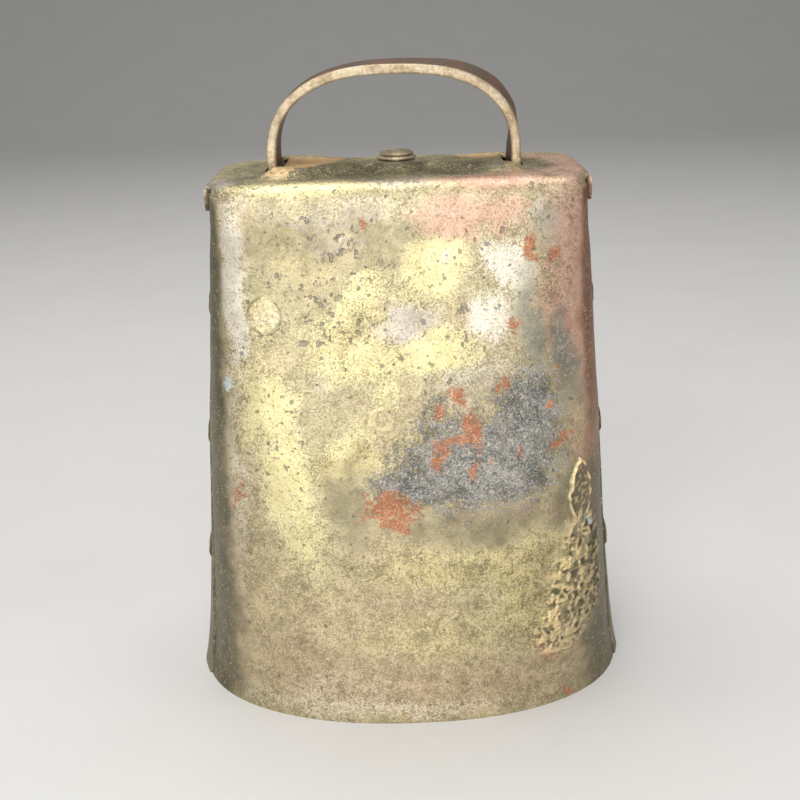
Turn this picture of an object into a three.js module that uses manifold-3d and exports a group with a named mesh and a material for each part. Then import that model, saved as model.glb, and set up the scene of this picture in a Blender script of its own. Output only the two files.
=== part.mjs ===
// Cowbell: one sheet of steel folded over a flat crown, lapped and riveted down both
// narrow sides, with a strap bail through two slots and a clapper hung on a link inside.
// Millimetres, +Z up, +Y to the back. The origin is the middle of the mouth, at the rim.
import * as THREE from "three";
import { mergeVertices } from "three/addons/utils/BufferGeometryUtils.js";
import Module from "manifold-3d";

const wasm = await Module();
wasm.setup();

// ---- driving dimensions -------------------------------------------------------------
const SHEET = 0.9; // thickness of the body sheet
const GAP = 0.3; // clearance between separate pieces
const SEAT = 0.15; // clearance between flat faces clamped together

const HEIGHT = 117.6; // rim to the top face of the crown
const MOUTH_HALF_WIDTH = 48.6; // outer face of the inner layer of the lap
const MOUTH_HALF_DEPTH = 32.2;
const TOP_HALF_WIDTH = 38.5;
const TOP_HALF_DEPTH = 21.0;
const LIP_FLARE = 1.3; // the rim opens out by this much, dying away up the wall
const LIP_REACH = 9;
const MOUTH_POWER = 2.2; // superellipse power of the section: an oval mouth ...
const TOP_POWER = 6; // ... and a rounded rectangle under the crown
const SHOULDER = 4.4; // bend radius round the crown, outer face

const LAP_FRONT_EDGE = -9; // y of the free edge of the outer layer of the lap
const LAP_INNER_EDGE = 5; // y of the free edge of the inner layer
const SIDE_RIVET_Y = -2.2;
const SIDE_RIVET_Z = [31, 60, 90];

const TAB_HALF_WIDTH = 14.5; // end tabs of the crown, folded down over the sides
const TAB_BOTTOM = 111.4;
const TAB_BEND = 4.0;
const TAB_STANDOFF = 0.12;
const RELIEF = { x: 36.7, y: 15.3, z: 115.4, radius: 0.7 }; // open corners of the tabs

const BRIDGE_RISE = 1.6; // crown pushed up between the slots, over the feet of the bail
const BRIDGE_END = 22.3;
const BRIDGE_HALF_DEPTH = 7.4;
const BRIDGE_SLOPE = 5;
const SLOT_OUTER = 27.8;
const SLOT_HALF_DEPTH = 7.2;

const STRAP_THICKNESS = 2.0;
const STRAP_DEPTH = 12.5;
const BAIL_HALF_WIDTH = 25.3; // centreline of the legs
const BAIL_X = -0.6; // the bail was bent by hand and sits a little off centre
const BAIL_TOP = 138.4; // centreline at the top of the arch
const BAIL_SPRING = 119.5; // height at which the legs turn into the arch
const BAIL_POWER = 2.5;
const FOOT_BEND = 2.5; // centreline radius where a leg turns inwards
const FOOT_OVERLAP = 5.6; // each foot runs this far past the middle

const RIVET_SHANK = 2.0; // radii on the crown rivet
const RIVET_HEAD = 3.6;
const RIVET_COLLAR = 4.5;
const WASHER = { radius: 4.1, thickness: 0.6 };

const EYE = { radius: 4.5, wire: 1.6 }; // eye forged on the lower end of the crown rivet
const LINK = { bend: 3.6, straight: 5.0, wire: 1.3 };
const CLAPPER_EYE = { radius: 4.3, wire: 1.7 };
const HANG = 0.25; // slack between one hung piece and the next
const CLAPPER_ROD = 2.0;
const BALL_RADIUS = 9.5;
const BALL_HEIGHT = 21;

// ---- materials ----------------------------------------------------------------------
const material = (color, roughness, metalness) =>
  new THREE.MeshStandardMaterial({ color, roughness, metalness });
const washedSteel = material(0x9c8a5c, 0.45, 0.85);
const strapSteel = material(0x8a7a5e, 0.5, 0.8);
const rivetSteel = material(0xa5946c, 0.45, 0.85);
const darkIron = material(0x4a423c, 0.6, 0.7);

// ---- solids: closed meshes and booleans ---------------------------------------------
function toSolid(geometry) {
  const bare = geometry.clone();
  bare.deleteAttribute("normal");
  bare.deleteAttribute("uv");
  const merged = mergeVertices(bare, 1e-4);
  return new wasm.Manifold(
    new wasm.Mesh({
      numProp: 3,
      vertProperties: new Float32Array(merged.attributes.position.array),
      triVerts: new Uint32Array(merged.index.array),
    }),
  );
}

function toGeometry(solid) {
  const { vertProperties, triVerts } = solid.getMesh();
  return new THREE.BufferGeometry()
    .setAttribute("position", new THREE.BufferAttribute(vertProperties, 3))
    .setIndex(new THREE.BufferAttribute(triVerts, 1));
}

function namedMesh(name, solid, look) {
  const mesh = new THREE.Mesh(toGeometry(solid), look);
  mesh.name = name;
  return mesh;
}

// A solid through closed rings of points that turn anticlockwise seen from above.
function loft(rings) {
  const count = rings[0].length;
  const points = rings.flat();
  const faces = [];
  for (let r = 0; r + 1 < rings.length; r++)
    for (let i = 0; i < count; i++) {
      const [a, b] = [r * count + i, r * count + ((i + 1) % count)];
      faces.push(a, b, b + count, a, b + count, a + count);
    }
  for (const [ring, top] of [
    [0, false],
    [rings.length - 1, true],
  ]) {
    const middle = rings[ring].reduce((sum, p) => sum.add(p), new THREE.Vector3());
    points.push(middle.divideScalar(count));
    for (let i = 0; i < count; i++) {
      const [a, b] = [ring * count + i, ring * count + ((i + 1) % count)];
      faces.push(...(top ? [a, b] : [b, a]), points.length - 1);
    }
  }
  return toSolid(new THREE.BufferGeometry().setFromPoints(points).setIndex(faces));
}

// Round wire along a closed loop that lies in the XZ plane, turned to YZ on request.
function wireLoop(centreline, radius, sides, inYZ = false) {
  const points = [];
  const faces = [];
  const count = centreline.length;
  centreline.forEach((p, i) => {
    const ahead = centreline[(i + 1) % count];
    const behind = centreline[(i + count - 1) % count];
    const along = ahead.clone().sub(behind).normalize();
    for (let k = 0; k < sides; k++) {
      const turn = (2 * Math.PI * k) / sides;
      const out = radius * Math.cos(turn);
      const across = radius * Math.sin(turn);
      const [u, v] = [p.x + along.y * out, p.y - along.x * out];
      points.push(
        inYZ ? new THREE.Vector3(-across, u, v) : new THREE.Vector3(u, across, v),
      );
      const next = ((i + 1) % count) * sides;
      const side = (k + 1) % sides;
      const [a, b, c, d] = [i * sides + k, i * sides + side, next + side, next + k];
      faces.push(a, b, c, a, c, d);
    }
  });
  return toSolid(new THREE.BufferGeometry().setFromPoints(points).setIndex(faces));
}

const circle = (radius, z, steps) =>
  Array.from({ length: steps }, (_, i) => {
    const turn = (2 * Math.PI * i) / steps;
    return new THREE.Vector2(radius * Math.cos(turn), z + radius * Math.sin(turn));
  });

// A turned piece on the Z axis: [radius, height] pairs from the bottom up.
function turned(profile, segments = 28) {
  const points = profile.map(([radius, z]) => new THREE.Vector2(radius, z));
  const lathe = new THREE.LatheGeometry(points, segments);
  return toSolid(lathe.rotateX(Math.PI / 2));
}

const block = (x0, x1, y0, y1, z0, z1) =>
  toSolid(
    new THREE.BoxGeometry(x1 - x0, y1 - y0, z1 - z0).translate(
      (x0 + x1) / 2,
      (y0 + y1) / 2,
      (z0 + z1) / 2,
    ),
  );

// A flat outline in the XZ plane, extruded from -depth/2 to depth/2 along Y.
function plateXZ(outline, depth) {
  const shape = new THREE.Shape(outline.map(([x, z]) => new THREE.Vector2(x, z)));
  const plate = new THREE.ExtrudeGeometry(shape, { depth, bevelEnabled: false });
  return toSolid(plate.rotateX(Math.PI / 2).translate(0, depth / 2, 0));
}

// The two edges of a strip of even thickness, from its centreline in the XZ plane.
function stripOutline(centreline, thickness) {
  const edge = (side) =>
    centreline.map((p, i) => {
      const ahead = centreline[Math.min(i + 1, centreline.length - 1)];
      const behind = centreline[Math.max(i - 1, 0)];
      const along = ahead.clone().sub(behind).normalize();
      const half = (side * thickness) / 2;
      return [p.x - along.y * half, p.y + along.x * half];
    });
  return [...edge(1), ...edge(-1).reverse()];
}

const arc = (x, z, radius, from, to, steps) =>
  Array.from({ length: steps + 1 }, (_, i) => {
    const turn = THREE.MathUtils.degToRad(from + ((to - from) * i) / steps);
    return new THREE.Vector2(x + radius * Math.cos(turn), z + radius * Math.sin(turn));
  });

// ---- body sheet ---------------------------------------------------------------------
// Half width, half depth and power of the outer section at height z.
function section(z) {
  const rise = THREE.MathUtils.clamp(z / HEIGHT, 0, 1);
  const flare = LIP_FLARE * Math.exp(-Math.max(z, 0) / LIP_REACH);
  return {
    halfWidth: THREE.MathUtils.lerp(MOUTH_HALF_WIDTH, TOP_HALF_WIDTH, rise) + flare,
    halfDepth: THREE.MathUtils.lerp(MOUTH_HALF_DEPTH, TOP_HALF_DEPTH, rise),
    power: MOUTH_POWER + (TOP_POWER - MOUTH_POWER) * rise ** 1.4,
  };
}

function sectionRing(z, widthOffset, depthOffset, level = z, steps = 72) {
  const { halfWidth, halfDepth, power } = section(z);
  return Array.from({ length: steps }, (_, i) => {
    const turn = (2 * Math.PI * (i + 0.5)) / steps;
    const [c, s] = [Math.cos(turn), Math.sin(turn)];
    return new THREE.Vector3(
      (halfWidth + widthOffset) * Math.sign(c) * Math.abs(c) ** (2 / power),
      (halfDepth + depthOffset) * Math.sign(s) * Math.abs(s) ** (2 / power),
      level,
    );
  });
}

// The space inside one face of the sheet: walls, rounded shoulder and flat crown.
function bellForm(widthOffset, depthOffset, top, bend, bottom) {
  const levels = [bottom, 3, 7, 12, 19, 30, 48, 68, 86, 102].filter((z) => z >= bottom);
  const walls = levels.map((z) => sectionRing(z, widthOffset, depthOffset));
  const shoulder = [0, 22.5, 45, 67.5, 90].map((degrees) => {
    const turn = THREE.MathUtils.degToRad(degrees);
    const inset = bend * (1 - Math.cos(turn));
    const z = top - bend * (1 - Math.sin(turn));
    return sectionRing(z, widthOffset - inset, depthOffset - inset, z);
  });
  return loft([...walls, ...shoulder]);
}

// End of the crown, folded down over the sides of the body between its two tab edges.
function endTabs() {
  const [inner, outer] = [TAB_STANDOFF, TAB_STANDOFF + SHEET];
  const foldedOver = bellForm(outer, 0, HEIGHT, TAB_BEND, TAB_BOTTOM - 20);
  const beneath = bellForm(inner, 0, HEIGHT - SHEET, TAB_BEND - SHEET, TAB_BOTTOM - 21);
  const width = block(-60, 60, -TAB_HALF_WIDTH, TAB_HALF_WIDTH, TAB_BOTTOM, HEIGHT + 1);
  return foldedOver.subtract(beneath).intersect(width);
}

// Crown pushed up between the slots. The same form, set lower, hollows its underside.
function bridge(lift) {
  const rectangle = (x, y, z) =>
    [
      [-x, -y],
      [x, -y],
      [x, y],
      [-x, y],
    ].map(([px, py]) => new THREE.Vector3(BAIL_X + px, py, z + lift));
  const foot = HEIGHT - SHEET - 0.5;
  return loft([
    rectangle(BRIDGE_END + 2, BRIDGE_HALF_DEPTH + BRIDGE_SLOPE, foot),
    rectangle(BRIDGE_END + 2, BRIDGE_HALF_DEPTH + BRIDGE_SLOPE, HEIGHT - 0.05),
    rectangle(BRIDGE_END, BRIDGE_HALF_DEPTH, HEIGHT + BRIDGE_RISE),
  ]);
}

// Puts a piece made on the Z axis at a place, with its axis along a direction.
function placed(solid, place, direction) {
  const turn = new THREE.Quaternion().setFromUnitVectors(
    new THREE.Vector3(0, 0, 1),
    direction.clone().normalize(),
  );
  const geometry = toGeometry(solid).applyQuaternion(turn);
  return toSolid(geometry.translate(place.x, place.y, place.z));
}

// The same, at a rivet's seat in the outer face of the lap, with its axis outwards.
function onSideWall(solid, side, z) {
  const { halfWidth, halfDepth, power } = section(z);
  const reach = 1 - (Math.abs(SIDE_RIVET_Y) / halfDepth) ** power;
  const x = side * (halfWidth + SHEET) * reach ** (1 / power);
  const lean = (MOUTH_HALF_WIDTH - TOP_HALF_WIDTH) / HEIGHT;
  const place = new THREE.Vector3(x, SIDE_RIVET_Y, z);
  return placed(solid, place, new THREE.Vector3(side, 0, lean));
}

// Rivet set flush in the outer face (local z = 0) and clenched on the inner one.
const RIVET = { shank: 1.5, head: 3.4, recess: 0.5, crown: 0.3, clench: 2.8, tail: 0.8 };

function rivetForm() {
  const inside = -2 * SHEET - GAP;
  return turned([
    [0, inside - RIVET.tail],
    [RIVET.clench - 0.8, inside - RIVET.tail],
    [RIVET.clench, inside - RIVET.tail / 2],
    [RIVET.clench, inside],
    [RIVET.shank, inside],
    [RIVET.shank, -RIVET.recess],
    [RIVET.head, -RIVET.recess],
    [RIVET.head, 0],
    [RIVET.head * 0.6, RIVET.crown * 0.8],
    [0, RIVET.crown],
  ], 20);
}

function rivetSeat() {
  const depth = RIVET.recess + SEAT;
  return turned([
    [0, -2 * SHEET - 4],
    [RIVET.shank + GAP, -2 * SHEET - 4],
    [RIVET.shank + GAP, -depth],
    [RIVET.head + SEAT, -depth],
    [RIVET.head + SEAT, 4],
    [0, 4],
  ], 20);
}

function bellShell() {
  const behind = (y) => block(-60, 60, y, 60, -5, HEIGHT + 5);
  const outerLap = bellForm(SHEET, 0, HEIGHT, SHOULDER, 0)
    .intersect(behind(LAP_FRONT_EDGE))
    .intersect(block(-60, 60, -60, 60, -1, TAB_BOTTOM - GAP));
  const outside = bellForm(0, 0, HEIGHT, SHOULDER, 0).add(outerLap);
  const insideBack = bellForm(0, -SHEET, HEIGHT - SHEET, SHOULDER - SHEET, -1)
    .intersect(behind(LAP_INNER_EDGE))
    .intersect(block(-60, 60, -60, 60, -2, HEIGHT - 2 * SHOULDER));
  const inside = bellForm(-SHEET, -SHEET, HEIGHT - SHEET, SHOULDER - SHEET, -1).add(
    insideBack,
  );
  let shell = outside.add(endTabs()).add(bridge(0));
  shell = shell.subtract(inside).subtract(bridge(-SHEET));

  for (const side of [-1, 1]) {
    const middle = BAIL_X + (side * (BRIDGE_END + SLOT_OUTER)) / 2;
    const reach = (SLOT_OUTER - BRIDGE_END) / 2;
    const [near, far] = [middle - reach, middle + reach];
    shell = shell.subtract(
      block(near, far, -SLOT_HALF_DEPTH, SLOT_HALF_DEPTH, HEIGHT - 3, HEIGHT + 5),
    );
    for (const z of SIDE_RIVET_Z)
      shell = shell.subtract(onSideWall(rivetSeat(), side, z));
    for (const end of [-1, 1]) {
      const place = new THREE.Vector3(side * RELIEF.x, end * RELIEF.y, RELIEF.z);
      const corner = new THREE.Vector3(side, end, 1);
      const relief = turned([
        [0, -3],
        [RELIEF.radius, -3],
        [RELIEF.radius, 3],
        [0, 3],
      ], 8);
      shell = shell.subtract(placed(relief, place, corner));
    }
  }
  const hole = turned([
    [0, HEIGHT - 3],
    [RIVET_SHANK + GAP, HEIGHT - 3],
    [RIVET_SHANK + GAP, HEIGHT + 5],
    [0, HEIGHT + 5],
  ]);
  return shell.subtract(hole);
}

// ---- bail ---------------------------------------------------------------------------
const BRIDGE_UNDERSIDE = HEIGHT + BRIDGE_RISE - SHEET;
const UPPER_FOOT = BRIDGE_UNDERSIDE - GAP - STRAP_THICKNESS / 2;
const LOWER_FOOT = UPPER_FOOT - STRAP_THICKNESS - GAP;

function handleStrap() {
  const bendX = BAIL_HALF_WIDTH - FOOT_BEND;
  const arch = Array.from({ length: 33 }, (_, i) => {
    const turn = Math.PI - (Math.PI * i) / 32;
    const [c, s] = [Math.cos(turn), Math.sin(turn)];
    return new THREE.Vector2(
      BAIL_HALF_WIDTH * Math.sign(c) * Math.abs(c) ** (2 / BAIL_POWER),
      BAIL_SPRING + (BAIL_TOP - BAIL_SPRING) * Math.abs(s) ** (2 / BAIL_POWER),
    );
  });
  const centreline = [
    new THREE.Vector2(FOOT_OVERLAP, UPPER_FOOT),
    ...arc(-bendX, UPPER_FOOT + FOOT_BEND, FOOT_BEND, 270, 180, 5),
    ...arch.slice(1, -1),
    ...arc(bendX, LOWER_FOOT + FOOT_BEND, FOOT_BEND, 0, -90, 5),
    new THREE.Vector2(-FOOT_OVERLAP, LOWER_FOOT),
  ];
  const outline = stripOutline(centreline, STRAP_THICKNESS);
  const strap = toSolid(toGeometry(plateXZ(outline, STRAP_DEPTH)).translate(BAIL_X, 0, 0));
  const hole = turned([
    [0, LOWER_FOOT - 3],
    [RIVET_SHANK + GAP, LOWER_FOOT - 3],
    [RIVET_SHANK + GAP, HEIGHT + 5],
    [0, HEIGHT + 5],
  ]);
  return strap.subtract(hole);
}

// ---- crown rivet and its washer -----------------------------------------------------
const BRIDGE_TOP = HEIGHT + BRIDGE_RISE;
const WASHER_TOP = BRIDGE_TOP + SEAT + WASHER.thickness;
const COLLAR_TOP = LOWER_FOOT - STRAP_THICKNESS / 2 - SEAT;
const EYE_CENTRE = COLLAR_TOP - 1.5 - EYE.radius - EYE.wire + 0.5;
const LINK_PIVOT = EYE_CENTRE - EYE.radius;

function crownWasher() {
  const [bottom, hole] = [BRIDGE_TOP + SEAT, RIVET_SHANK + SEAT];
  return turned([
    [hole, bottom],
    [WASHER.radius, bottom],
    [WASHER.radius, WASHER_TOP - 0.2],
    [WASHER.radius - 0.3, WASHER_TOP],
    [hole, WASHER_TOP],
    [hole, bottom],
  ]);
}

// Round shank with a collar and an eye below, peened over the washer above.
function crownRivet() {
  const under = WASHER_TOP + SEAT;
  const body = turned([
    [0, COLLAR_TOP - 1.9],
    [RIVET_COLLAR - 1, COLLAR_TOP - 1.9],
    [RIVET_COLLAR, COLLAR_TOP - 1],
    [RIVET_COLLAR, COLLAR_TOP],
    [RIVET_SHANK, COLLAR_TOP],
    [RIVET_SHANK, under],
    [RIVET_HEAD, under],
    [RIVET_HEAD, under + 0.5],
    [RIVET_HEAD * 0.75, under + 0.95],
    [RIVET_HEAD * 0.4, under + 0.85],
    [0, under + 0.8],
  ]);
  return body.add(wireLoop(circle(EYE.radius, EYE_CENTRE, 28), EYE.wire, 12));
}

// ---- link and clapper ---------------------------------------------------------------
const LINK_TOP_BEND = LINK_PIVOT + EYE.wire + HANG - (LINK.bend - LINK.wire);
const LINK_LOW_BEND = LINK_TOP_BEND - LINK.straight;
const CLAPPER_PIVOT = LINK_LOW_BEND - LINK.bend;

function clapperLink() {
  const loop = [
    ...arc(0, LINK_TOP_BEND, LINK.bend, 0, 180, 10),
    ...arc(0, LINK_LOW_BEND, LINK.bend, 180, 360, 10),
  ];
  return wireLoop(loop, LINK.wire, 10, true);
}

const CLAPPER_EYE_CENTRE =
  CLAPPER_PIVOT + LINK.wire + HANG - (CLAPPER_EYE.radius - CLAPPER_EYE.wire);
const BALL_TOP = BALL_HEIGHT + BALL_RADIUS;
const BALL_BOTTOM = BALL_HEIGHT - BALL_RADIUS;

function clapperRod() {
  const rod = turned([
    [0, BALL_BOTTOM - 1.6],
    [2.4, BALL_BOTTOM - 1.6],
    [3.4, BALL_BOTTOM - 1.0],
    [3.4, BALL_BOTTOM - SEAT],
    [CLAPPER_ROD, BALL_BOTTOM - SEAT],
    [CLAPPER_ROD, BALL_TOP + SEAT],
    [3.6, BALL_TOP + SEAT],
    [3.6, BALL_TOP + 1.4],
    [CLAPPER_ROD, BALL_TOP + 3.2],
    [CLAPPER_ROD, CLAPPER_EYE_CENTRE - CLAPPER_EYE.radius],
    [0, CLAPPER_EYE_CENTRE - CLAPPER_EYE.radius],
  ], 20);
  const eye = circle(CLAPPER_EYE.radius, CLAPPER_EYE_CENTRE, 24);
  return rod.add(wireLoop(eye, CLAPPER_EYE.wire, 12));
}

function clapperBall() {
  const [bore, flat] = [CLAPPER_ROD + GAP, 3.8];
  const start = THREE.MathUtils.radToDeg(Math.acos(flat / BALL_RADIUS));
  const round = arc(0, BALL_HEIGHT, BALL_RADIUS, -start, start, 14);
  return turned([
    [bore, BALL_BOTTOM],
    [flat, BALL_BOTTOM],
    ...round.slice(1, -1).map((p) => [p.x, p.y]),
    [flat, BALL_TOP],
    [bore, BALL_TOP],
    [bore, BALL_BOTTOM],
  ]);
}

// ---- assembly -----------------------------------------------------------------------
const cowbell = new THREE.Group();
cowbell.add(
  namedMesh("bell_shell", bellShell(), washedSteel),
  namedMesh("handle_strap", handleStrap(), strapSteel),
  namedMesh("crown_washer", crownWasher(), rivetSteel),
  namedMesh("crown_rivet", crownRivet(), rivetSteel),
  namedMesh("clapper_link", clapperLink(), darkIron),
  namedMesh("clapper_rod", clapperRod(), darkIron),
  namedMesh("clapper_ball", clapperBall(), darkIron),
);

const rivetNames = ["lower", "middle", "upper"];
for (const [side, sideName] of [
  [-1, "left"],
  [1, "right"],
])
  SIDE_RIVET_Z.forEach((z, i) => {
    const name = `side_rivet_${sideName}_${rivetNames[i]}`;
    cowbell.add(namedMesh(name, onSideWall(rivetForm(), side, z), rivetSteel));
  });

export default cowbell;
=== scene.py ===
import math
from contextlib import contextmanager

import bmesh
import bpy
import numpy as np
from mathutils import Matrix, Vector, noise
from mathutils.bvhtree import BVHTree


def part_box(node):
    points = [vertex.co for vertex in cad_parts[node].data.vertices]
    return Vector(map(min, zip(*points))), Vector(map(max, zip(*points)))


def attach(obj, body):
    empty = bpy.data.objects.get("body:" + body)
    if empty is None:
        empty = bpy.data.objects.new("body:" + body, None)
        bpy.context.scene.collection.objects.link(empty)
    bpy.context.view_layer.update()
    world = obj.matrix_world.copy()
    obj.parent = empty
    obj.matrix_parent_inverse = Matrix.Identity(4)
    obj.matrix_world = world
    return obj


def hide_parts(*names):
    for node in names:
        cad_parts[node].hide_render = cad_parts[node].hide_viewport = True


# The looks of a riveted sheet-steel cowbell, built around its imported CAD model.
# Lengths are millimetres in the CAD frame until new_mesh() turns them into metres.
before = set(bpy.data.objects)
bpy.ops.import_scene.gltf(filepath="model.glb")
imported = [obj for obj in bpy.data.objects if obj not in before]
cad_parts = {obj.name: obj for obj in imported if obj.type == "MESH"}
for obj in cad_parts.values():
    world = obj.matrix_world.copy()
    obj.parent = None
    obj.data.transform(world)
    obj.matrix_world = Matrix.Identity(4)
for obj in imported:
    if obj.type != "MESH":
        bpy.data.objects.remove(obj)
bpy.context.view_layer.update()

MM = 0.001


def box_mm(node):
    low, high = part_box(node)
    return low / MM, high / MM


# ---- driving dimensions ----
SHELL_LOW, SHELL_HIGH = box_mm("bell_shell")
STRAP_LOW, STRAP_HIGH = box_mm("handle_strap")
WASHER_LOW, WASHER_HIGH = box_mm("crown_washer")
LINK_LOW, LINK_HIGH = box_mm("clapper_link")
ROD_LOW, ROD_HIGH = box_mm("clapper_rod")
BALL_LOW, BALL_HIGH = box_mm("clapper_ball")

SHEET = 0.9  # thickness of the body's sheet
LIP_FLARE = 1.3  # at the rim, fading out over LIP_REACH
LIP_REACH = 9.0
BRIDGE_RISE = 1.6  # of the crown over the folded feet of the bail
HEIGHT = SHELL_HIGH.z - BRIDGE_RISE
MOUTH_HALF_WIDTH = SHELL_HIGH.x - SHEET - LIP_FLARE
MOUTH_HALF_DEPTH = SHELL_HIGH.y
TOP_HALF_WIDTH = 38.5
TOP_HALF_DEPTH = 21.0
MOUTH_POWER = 2.2  # superellipse powers: 2 is an ellipse, and more is squarer
TOP_POWER = 6.0
CROWN_SQUARE = 2.0  # added to the power at the very top
SHOULDER = 4.4  # radius of the bend from the walls to the crown

TAB_HALF_WIDTH = 14.5
TAB_BOTTOM = 111.4
TAB_STANDOFF = 0.12
TAB_CORNER = 3.0
RELIEF_ANGLE = 40.0  # how far up the bend the slits beside the tabs go, in degrees

STRAP_THICKNESS = 2.0
STRAP_HALF_DEPTH = STRAP_HIGH.y
BAIL_X = (STRAP_LOW.x + STRAP_HIGH.x) / 2
BAIL_HALF_WIDTH = (STRAP_HIGH.x - STRAP_LOW.x - STRAP_THICKNESS) / 2
FRONT_TOP = STRAP_HIGH.z - STRAP_THICKNESS / 2 - 0.7
BAIL_SPRING = HEIGHT + 1.9
BAIL_POWER = 2.5
SLOT_INNER = 22.6
SLOT_OUTER = 26.9
SLOT_HALF_DEPTH = 6.9
RELIEF_PLACE = (36.9, 15.0, 115.3)
RELIEF_RADIUS = 0.95
RIVET_HOLE = 2.3

COLUMN_STEP = 0.85
ROW_STEP = 0.9


# ---- small numeric helpers ----
def smooth(value, low, high):
    """0 below low, 1 above high, and an even curve between; low may be the larger one."""
    t = np.clip((value - low) / (high - low), 0, 1)
    return t * t * (3 - 2 * t)


def peak(value, middle, reach):
    """1 at middle, falling to 0 within about twice the reach on either side."""
    return np.exp(-(((value - middle) / reach) ** 2))


def run_length(x, y):
    """Distance along a line of points, at each of them."""
    return np.concatenate([[0], np.cumsum(np.hypot(np.diff(x), np.diff(y)))])


def wander(points, size, offset=0.0):
    """Even noise from -1 to 1 at each point, with features about size millimetres across."""
    scaled = np.asarray(points, float) / size + offset
    return np.array([noise.noise(Vector(p)) for p in scaled])


def section(z):
    """Half width, half depth and superellipse power of the body's outer face at height z."""
    rise = min(max(z / HEIGHT, 0), 1)
    flare = LIP_FLARE * math.exp(-max(z, 0) / LIP_REACH)
    half_width = MOUTH_HALF_WIDTH + (TOP_HALF_WIDTH - MOUTH_HALF_WIDTH) * rise + flare
    half_depth = MOUTH_HALF_DEPTH + (TOP_HALF_DEPTH - MOUTH_HALF_DEPTH) * rise
    power = MOUTH_POWER + (TOP_POWER - MOUTH_POWER) * rise**1.4
    squarer = CROWN_SQUARE * min(max((z - HEIGHT + 14) / 11, 0), 1)
    return half_width, half_depth, power + squarer


def lap_edge(z, side):
    """How far forward of the middle the outer layer's free edge lies, on either side."""
    return 7.0 if side > 0 else 6.5 + 3.5 * (1 - z / HEIGHT)


def lap_rise(z):
    """Height of the step at the lap, which the end tab's hammering has closed at the top."""
    return SHEET * float(smooth(z, TAB_BOTTOM - 0.5, TAB_BOTTOM - 6))


# ---- meshes ----
@contextmanager
def edited(mesh):
    """A mesh as a bmesh, which is written back at the end."""
    bm = bmesh.new()
    bm.from_mesh(mesh)
    yield bm
    bm.to_mesh(mesh)
    bm.free()


def new_mesh(name, points, faces):
    """A mesh object from points in millimetres, with doubled points welded."""
    mesh = bpy.data.meshes.new(name)
    mesh.from_pydata([tuple(float(c) * MM for c in p) for p in points], [], faces)
    with edited(mesh) as bm:
        bmesh.ops.remove_doubles(bm, verts=bm.verts, dist=0.01 * MM)
        bmesh.ops.dissolve_degenerate(bm, edges=bm.edges, dist=0.005 * MM)
    piece = bpy.data.objects.new(name, mesh)
    bpy.context.scene.collection.objects.link(piece)
    return piece


def grid_faces(rows, columns, closed=False):
    """Quads of a grid of points; closed joins the last column to the first."""
    faces = []
    for r in range(rows - 1):
        for c in range(columns if closed else columns - 1):
            a = r * columns + c
            b = r * columns + (c + 1) % columns
            faces.append((a, b, b + columns, a + columns))
    return faces


def capped_faces(rows, columns):
    """Faces of a stack of closed rings of points, with a cap on the first and on the last."""
    faces = grid_faces(rows, columns, closed=True)
    faces.append(tuple(reversed(range(columns))))
    faces.append(tuple(range((rows - 1) * columns, rows * columns)))
    return faces


def circle(steps):
    """Cosine and sine of evenly spaced turns."""
    turns = [2 * math.pi * i / steps for i in range(steps)]
    return [(math.cos(turn), math.sin(turn)) for turn in turns]


def coordinates(piece):
    """The piece's points as an array in millimetres."""
    values = np.empty(len(piece.data.vertices) * 3)
    piece.data.vertices.foreach_get("co", values)
    return values.reshape(-1, 3) / MM


def set_coordinates(piece, points):
    piece.data.vertices.foreach_set("co", (np.asarray(points) * MM).ravel())
    piece.data.update()


def vertex_normals(piece):
    values = np.empty(len(piece.data.vertices) * 3, np.float32)
    piece.data.vertex_normals.foreach_get("vector", values)
    return values.reshape(-1, 3)


def apply_modifiers(piece):
    depsgraph = bpy.context.evaluated_depsgraph_get()
    mesh = bpy.data.meshes.new_from_object(piece.evaluated_get(depsgraph))
    piece.modifiers.clear()
    piece.data = mesh


def boolean(piece, cutter, operation):
    modifier = piece.modifiers.new("boolean", "BOOLEAN")
    modifier.operation = operation
    modifier.solver = "EXACT"
    modifier.object = cutter
    apply_modifiers(piece)
    bpy.data.objects.remove(cutter)


def thicken(piece, thickness):
    """Gives a surface its thickness, behind it."""
    modifier = piece.modifiers.new("thickness", "SOLIDIFY")
    modifier.thickness = thickness * MM
    modifier.offset = -1
    apply_modifiers(piece)


def bevel_edges(piece, width):
    modifier = piece.modifiers.new("bevel", "BEVEL")
    modifier.width = width * MM
    modifier.segments = 2
    modifier.limit_method = "ANGLE"
    modifier.angle_limit = math.radians(40)
    modifier.use_clamp_overlap = True
    apply_modifiers(piece)


def shade(piece, angle=35):
    """Smooth shading, except over edges sharper than an angle in degrees."""
    piece.data.polygons.foreach_set("use_smooth", [True] * len(piece.data.polygons))
    piece.data.set_sharp_from_angle(angle=math.radians(angle))


def turned(name, profile, steps=64, uneven=0.0, hollow=False):
    """A turned piece on the Z axis from (radius, height) pairs, bottom up.

    It is capped at both ends, except a hollow one, whose profile ends where it started.
    """
    points = []
    for radius, z in profile:
        for c, s in circle(steps):
            reach = radius * (1 + uneven * noise.noise(Vector((c, s, z * 0.35))))
            points.append((reach * c, reach * s, z))
    rows = len(profile)
    faces = grid_faces(rows, steps, closed=True) if hollow else capped_faces(rows, steps)
    return new_mesh(name, points, faces)


def wire_loop(name, centreline, radius, normal, steps=20):
    """Round wire along a closed centreline in the plane that normal stands on."""
    normal = Vector(normal)
    count = len(centreline)
    points = []
    for i in range(count):
        along = (centreline[(i + 1) % count] - centreline[i - 1]).normalized()
        across = along.cross(normal)
        for c, s in circle(steps):
            points.append(centreline[i] + across * (radius * c) + normal * (radius * s))
    points += points[:steps]
    loop = new_mesh(name, points, grid_faces(count + 1, steps, closed=True))
    recalculate_normals(loop)
    return loop


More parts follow.
